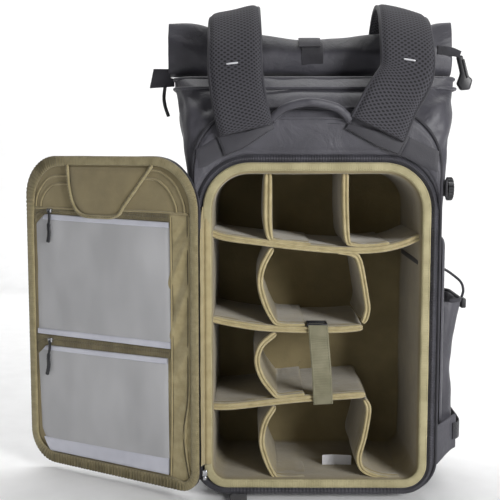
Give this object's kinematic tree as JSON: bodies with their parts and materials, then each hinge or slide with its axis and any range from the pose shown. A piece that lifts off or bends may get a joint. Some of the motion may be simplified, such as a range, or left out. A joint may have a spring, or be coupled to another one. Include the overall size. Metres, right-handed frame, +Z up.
{
  "type": "camera backpack",
  "caption": "Roll-top camera backpack standing upright with its zipped back door folded open on a padded, divided liner and straps thrown over the top",
  "frame": {"origin": "centre of the flat base the bag stands on", "axes": "+Z up, +X to the right when facing the open back, +Y from the harness side towards the hidden front"},
  "size_m": [0.5467, 0.2246, 0.5699],
  "materials": {
    "shell_nylon": "coated woven cloth, soft sheen",
    "dark_tape": "close woven tape, matt",
    "black_webbing": "ribbed webbing, matt",
    "air_mesh": "perforated spacer mesh, matt",
    "khaki_lining": "brushed lining cloth",
    "light_binding": "folded light tape",
    "olive_tape": "gathered stretch tape",
    "pocket_film": "frosted translucent film",
    "grey_green_webbing": "fine webbing",
    "black_plastic": "moulded, fine texture",
    "zip_metal": "bright cast slider",
    "white_label": "plain satin tape"
  },
  "bodies": {
    "root": {"outer_shell": "shell_nylon", "yoke_panel": "shell_nylon", "roll_top": "shell_nylon", "strap_base_left": "shell_nylon", "strap_base_right": "shell_nylon", "grab_handle": "shell_nylon", "strap_wing_left": "shell_nylon", "strap_wing_right": "shell_nylon", "side_panel_right": "shell_nylon", "side_pocket_right": "shell_nylon", "door_shell": "shell_nylon", "zip_track": "dark_tape", "body_piping": "dark_tape", "roll_strap": "black_webbing", "roll_strap_loop": "black_webbing", "lower_webbing_left": "black_webbing", "lower_webbing_right": "black_webbing", "side_tab_left": "black_webbing", "side_webbing_right": "black_webbing", "dial_tab_right": "black_webbing", "base_tab": "black_webbing", "shoulder_strap_left": "air_mesh", "shoulder_strap_right": "air_mesh", "camera_liner": "khaki_lining", "shelf_upper": "khaki_lining", "shelf_middle": "khaki_lining", "shelf_lower": "khaki_lining", "divider_upper_left": "khaki_lining", "divider_upper_right": "khaki_lining", "divider_middle_left": "khaki_lining", "divider_middle_right": "khaki_lining", "divider_lower_left": "khaki_lining", "divider_bottom_left": "khaki_lining", "divider_bottom_right": "khaki_lining", "inner_side_pocket": "khaki_lining", "door_lining": "khaki_lining", "door_flap": "khaki_lining", "hinge_gusset": "khaki_lining", "opening_binding": "light_binding", "door_binding": "olive_tape", "zip_band_upper": "olive_tape", "zip_band_lower": "olive_tape", "pocket_upper": "pocket_film", "pocket_lower": "pocket_film", "retention_strap": "grey_green_webbing", "retention_keeper": "black_plastic", "strap_adjuster_left": "black_plastic", "strap_adjuster_right": "black_plastic", "side_pull_left": "black_plastic", "side_buckle_right": "black_plastic", "dial_buckle_right": "black_plastic", "pocket_cord_loop": "black_plastic", "pocket_cord_lock": "black_plastic", "zip_pull_upper": "black_plastic", "zip_pull_lower": "black_plastic", "hinge_slider": "zip_metal", "care_label": "white_label"}
  },
  "joints": []
}
